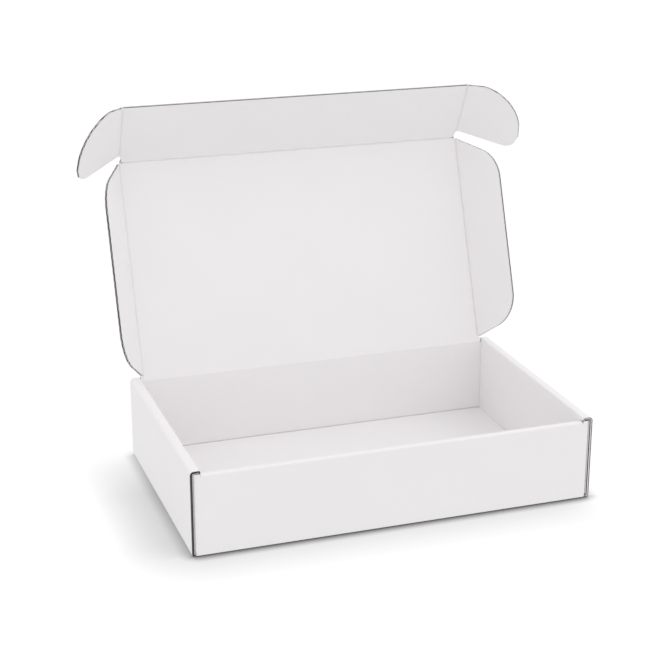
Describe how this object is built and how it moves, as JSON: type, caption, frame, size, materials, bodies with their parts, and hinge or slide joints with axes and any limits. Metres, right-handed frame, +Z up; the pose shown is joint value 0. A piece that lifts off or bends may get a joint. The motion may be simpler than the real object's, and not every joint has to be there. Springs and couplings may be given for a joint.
{
  "type": "corrugated mailer box",
  "caption": "Open mailer box folded from white-lined corrugated board, with rolled walls and a hinged lid that carries a tuck panel, wings and ears.",
  "frame": {"origin": "centre of the base's underside", "axes": "+X along the box's length to the right seen from the front, +Y from the front wall to the back wall where the lid folds, +Z up"},
  "size_m": [0.4172, 0.2825, 0.3098],
  "materials": {
    "white_board": "matt clay-coated white liner, with the flutes faintly showing through",
    "raw_edge": "cut edge of corrugated board, with its liners and flutes"
  },
  "bodies": {
    "tray": {"tray_base": "white_board"},
    "lid": {"lid_panel": "white_board"},
    "front_tuck": {"front_tuck_panel": "white_board"},
    "right_wing": {"right_lid_wing": "white_board"},
    "left_wing": {"left_lid_wing": "white_board"},
    "right_ear": {"right_tuck_ear": "white_board"},
    "left_ear": {"left_tuck_ear": "white_board"}
  },
  "joints": [
    {"name": "lid_hinge", "type": "hinge", "parent": "tray", "child": "lid", "pos_m": [0, 0.1056, 0.0699], "axis": [-1, 0, 0], "range_deg": [-110.6, 58.4]},
    {"name": "tuck_fold", "type": "hinge", "parent": "lid", "child": "front_tuck", "pos_m": [0, 0.17297, 0.25311], "axis": [1, 0, 0], "range_deg": [-27.43, 51.86]},
    {"name": "right_wing_fold", "type": "hinge", "parent": "lid", "child": "right_wing", "pos_m": [0.1622, 0.10429, 0.07039], "axis": [0, -0.3518, -0.9361], "range_deg": [-60.25, 114.02]},
    {"name": "left_wing_fold", "type": "hinge", "parent": "lid", "child": "left_wing", "pos_m": [-0.1622, 0.10429, 0.07039], "axis": [0, 0.3518, 0.9361], "range_deg": [-60.25, 114.02]},
    {"name": "right_ear_fold", "type": "hinge", "parent": "front_tuck", "child": "right_ear", "pos_m": [0.1622, 0.17297, 0.25311], "axis": [0, 0.4493, -0.8934], "range_deg": [-35.14, 66.46]},
    {"name": "left_ear_fold", "type": "hinge", "parent": "front_tuck", "child": "left_ear", "pos_m": [-0.1622, 0.17297, 0.25311], "axis": [0, -0.4493, 0.8934], "range_deg": [-35.14, 66.46]}
  ],
  "couplings": [
    {"joint": "tuck_fold", "follows": "lid_hinge", "ratio": -0.468},
    {"joint": "right_wing_fold", "follows": "lid_hinge", "ratio": -1.03},
    {"joint": "left_wing_fold", "follows": "lid_hinge", "ratio": -1.03},
    {"joint": "right_ear_fold", "follows": "lid_hinge", "ratio": -0.6},
    {"joint": "left_ear_fold", "follows": "lid_hinge", "ratio": -0.6}
  ]
}
